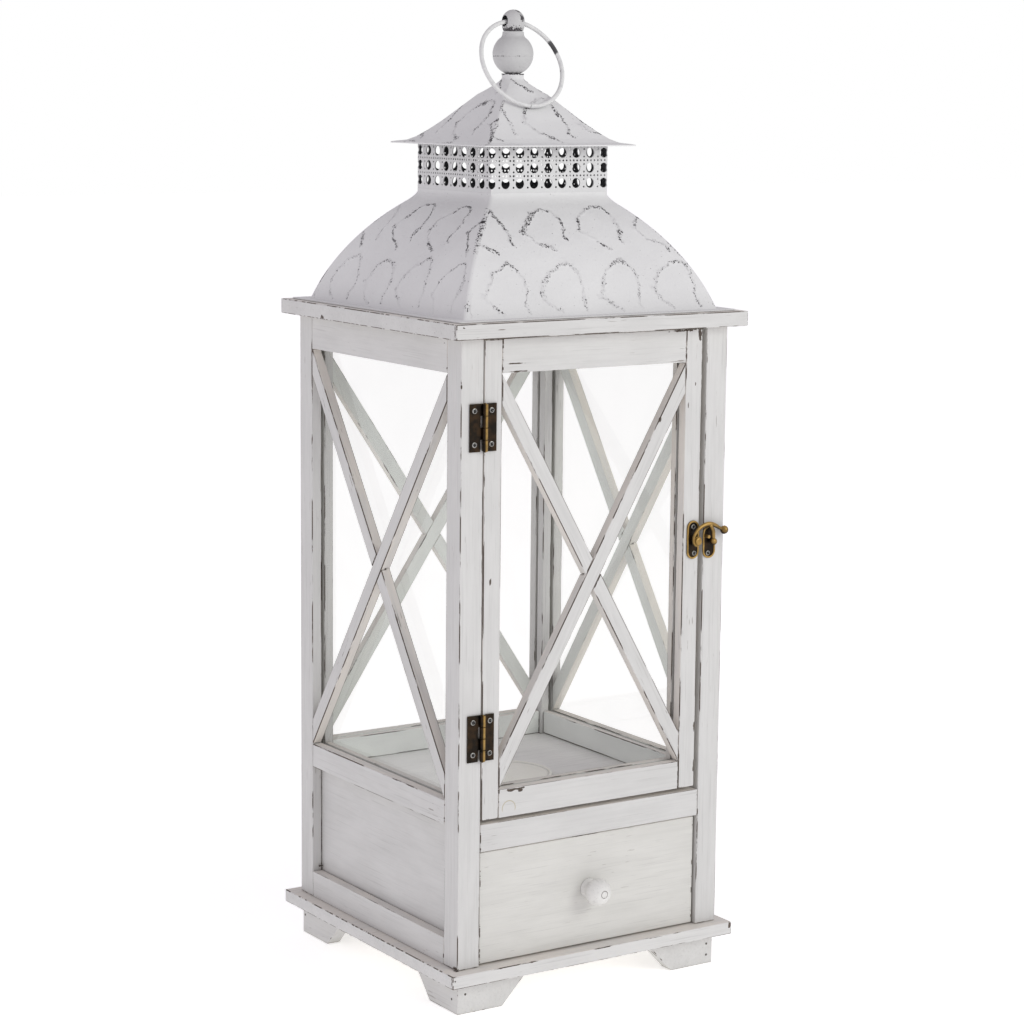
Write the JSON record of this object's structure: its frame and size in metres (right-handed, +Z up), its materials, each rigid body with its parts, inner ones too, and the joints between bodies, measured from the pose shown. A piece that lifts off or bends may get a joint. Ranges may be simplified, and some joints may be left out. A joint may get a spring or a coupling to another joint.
{
  "type": "candle lantern",
  "caption": "Tall square whitewashed wooden candle lantern with a glazed, cross-braced door and sides, a drawer below and a pressed metal roof with a perforated vent and a lifting ring.",
  "frame": {"origin": "centre of the bounding box's footprint, on the surface that the feet stand on", "axes": "+Z up; the door and the drawer face -Y; +X is to the right of someone who faces them"},
  "size_m": [0.25, 0.2574, 0.7088],
  "materials": {
    "painted_wood": "whitewashed, rubbed through to brown along the edges",
    "painted_metal": "white enamel, scuffed dark along the ridges",
    "antique_brass": "antiqued, worn bright on the knuckles and rims",
    "clear_glass": "clear sheet glass"
  },
  "bodies": {
    "cabinet": {"base_board": "painted_wood", "foot_front_left": "painted_wood", "foot_front_right": "painted_wood", "foot_back_left": "painted_wood", "foot_back_right": "painted_wood", "post_front_left": "painted_wood", "post_front_right": "painted_wood", "post_back_left": "painted_wood", "post_back_right": "painted_wood", "top_rail_right": "painted_wood", "mid_rail_right": "painted_wood", "bottom_rail_right": "painted_wood", "panel_right": "painted_wood", "brace_rising_right": "painted_wood", "brace_falling_right": "painted_wood", "top_rail_back": "painted_wood", "mid_rail_back": "painted_wood", "bottom_rail_back": "painted_wood", "panel_back": "painted_wood", "brace_rising_back": "painted_wood", "brace_falling_back": "painted_wood", "top_rail_left": "painted_wood", "mid_rail_left": "painted_wood", "bottom_rail_left": "painted_wood", "panel_left": "painted_wood", "brace_rising_left": "painted_wood", "brace_falling_left": "painted_wood", "floor_board": "painted_wood", "mid_rail_front": "painted_wood", "cornice_board": "painted_wood", "glass_right": "clear_glass", "glass_back": "clear_glass", "glass_left": "clear_glass", "candle_plate": "painted_metal", "roof_dome": "painted_metal", "vent_collar": "painted_metal", "roof_cap": "painted_metal", "finial_ball": "painted_metal", "finial_eye": "painted_metal", "hinge_upper_post_leaf": "antique_brass", "hinge_lower_post_leaf": "antique_brass", "latch_catch": "antique_brass"},
    "door": {"door_stile_left": "painted_wood", "door_stile_right": "painted_wood", "door_rail_top": "painted_wood", "door_rail_bottom": "painted_wood", "door_glass": "clear_glass", "door_brace_rising": "painted_wood", "door_brace_falling": "painted_wood", "hinge_upper_door_leaf": "antique_brass", "hinge_lower_door_leaf": "antique_brass", "latch_plate": "antique_brass"},
    "latch_hook": {"latch_hook": "antique_brass"},
    "drawer": {"drawer_front": "painted_wood", "drawer_side_left": "painted_wood", "drawer_side_right": "painted_wood", "drawer_back": "painted_wood", "drawer_bottom": "painted_wood", "drawer_knob": "painted_wood"},
    "lifting_ring": {"lifting_ring": "painted_metal"}
  },
  "joints": [
    {"name": "door_hinge", "type": "hinge", "parent": "cabinet", "child": "door", "pos_m": [-0.0963, -0.11325, 0.311], "axis": [0, 0, -1], "range_deg": [0, 170]},
    {"name": "latch_turn", "type": "hinge", "parent": "door", "child": "latch_hook", "pos_m": [0.0874, -0.11535, 0.3264], "axis": [0, -1, 0], "range_deg": [0, 100]},
    {"name": "drawer_slide", "type": "slide", "parent": "cabinet", "child": "drawer", "axis": [0, -1, 0], "range_m": [0, 0.14]},
    {"name": "ring_swing", "type": "hinge", "parent": "cabinet", "child": "lifting_ring", "pos_m": [0, 0.00375, 0.7006], "axis": [-1, 0, 0], "range_deg": [0, 306]}
  ]
}
